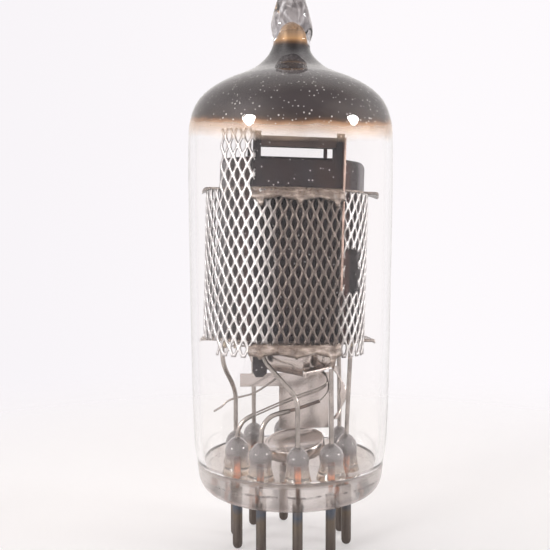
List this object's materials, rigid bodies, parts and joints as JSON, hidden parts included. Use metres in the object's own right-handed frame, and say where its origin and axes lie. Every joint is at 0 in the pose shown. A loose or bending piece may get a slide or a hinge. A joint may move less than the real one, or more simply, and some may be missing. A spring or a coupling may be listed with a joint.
{
  "type": "miniature vacuum tube",
  "caption": "Small all-glass radio valve with a ring of stiff base pins, a screened electrode cage between mica plates, a getter mirror in the dome and a drawn exhaust tip.",
  "frame": {"origin": "centre of the glass button's flat underside, on the tube's axis", "axes": "+Z along the tube from the base to the exhaust tip; -Y towards pin 6 and the broad front of the electrode cage; +X to the right as one faces that front"},
  "size_m": [0.021, 0.021, 0.0584],
  "materials": {
    "bulb_glass": "clear soda-lime glass",
    "stem_glass": "clear pressed glass with a grey cast",
    "getter_mirror": "dark grey-brown metal mirror",
    "pin_metal": "oxidised nickel-iron with heat tints",
    "copper_clad": "oxidised copper cladding",
    "nickel_wire": "nickel wire",
    "mica": "brownish translucent mica sheet",
    "screen_mesh": "expanded nickel mesh",
    "dark_nickel": "carbonised nickel sheet",
    "getter_steel": "heat-darkened nickel-plated steel",
    "getter_metal": "spent getter residue",
    "bright_nickel": "bright nickel sheet",
    "cathode_oxide": "white oxide coating on nickel",
    "heater_coating": "white alumina coating on tungsten",
    "grid_wire": "plated grid wire on nickel rods"
  },
  "bodies": {
    "root": {"anode": "dark_nickel", "anode_rod_left": "grid_wire", "anode_rod_right": "grid_wire", "anode_tab": "dark_nickel", "bottom_mica": "mica", "button_stem": "stem_glass", "cathode_sleeve": "cathode_oxide", "cathode_tab": "bright_nickel", "control_grid": "grid_wire", "control_grid_strap": "bright_nickel", "front_panel": "dark_nickel", "getter_channel": "getter_steel", "getter_fill": "getter_metal", "getter_film": "getter_mirror", "glass_bulb": "bulb_glass", "heater": "heater_coating", "lead_1": "nickel_wire", "lead_2": "nickel_wire", "lead_2_tab": "nickel_wire", "lead_3": "nickel_wire", "lead_4": "nickel_wire", "lead_5": "nickel_wire", "lead_6": "nickel_wire", "lead_7": "nickel_wire", "lead_8": "nickel_wire", "lead_9": "nickel_wire", "low_shield": "bright_nickel", "mesh_screen": "screen_mesh", "pin_1": "pin_metal", "pin_2": "pin_metal", "pin_3": "pin_metal", "pin_4": "pin_metal", "pin_5": "pin_metal", "pin_6": "pin_metal", "pin_7": "pin_metal", "pin_7_strap": "nickel_wire", "pin_8": "pin_metal", "pin_9": "pin_metal", "rear_panel": "dark_nickel", "screen_grid": "grid_wire", "screen_grid_strap": "bright_nickel", "seal_wires": "copper_clad", "seam_rod": "screen_mesh", "shield_whisker": "nickel_wire", "stem_cup": "bright_nickel", "stem_plate": "bright_nickel", "suppressor_grid": "grid_wire", "top_mica": "mica", "top_shield": "dark_nickel"}
  },
  "joints": []
}
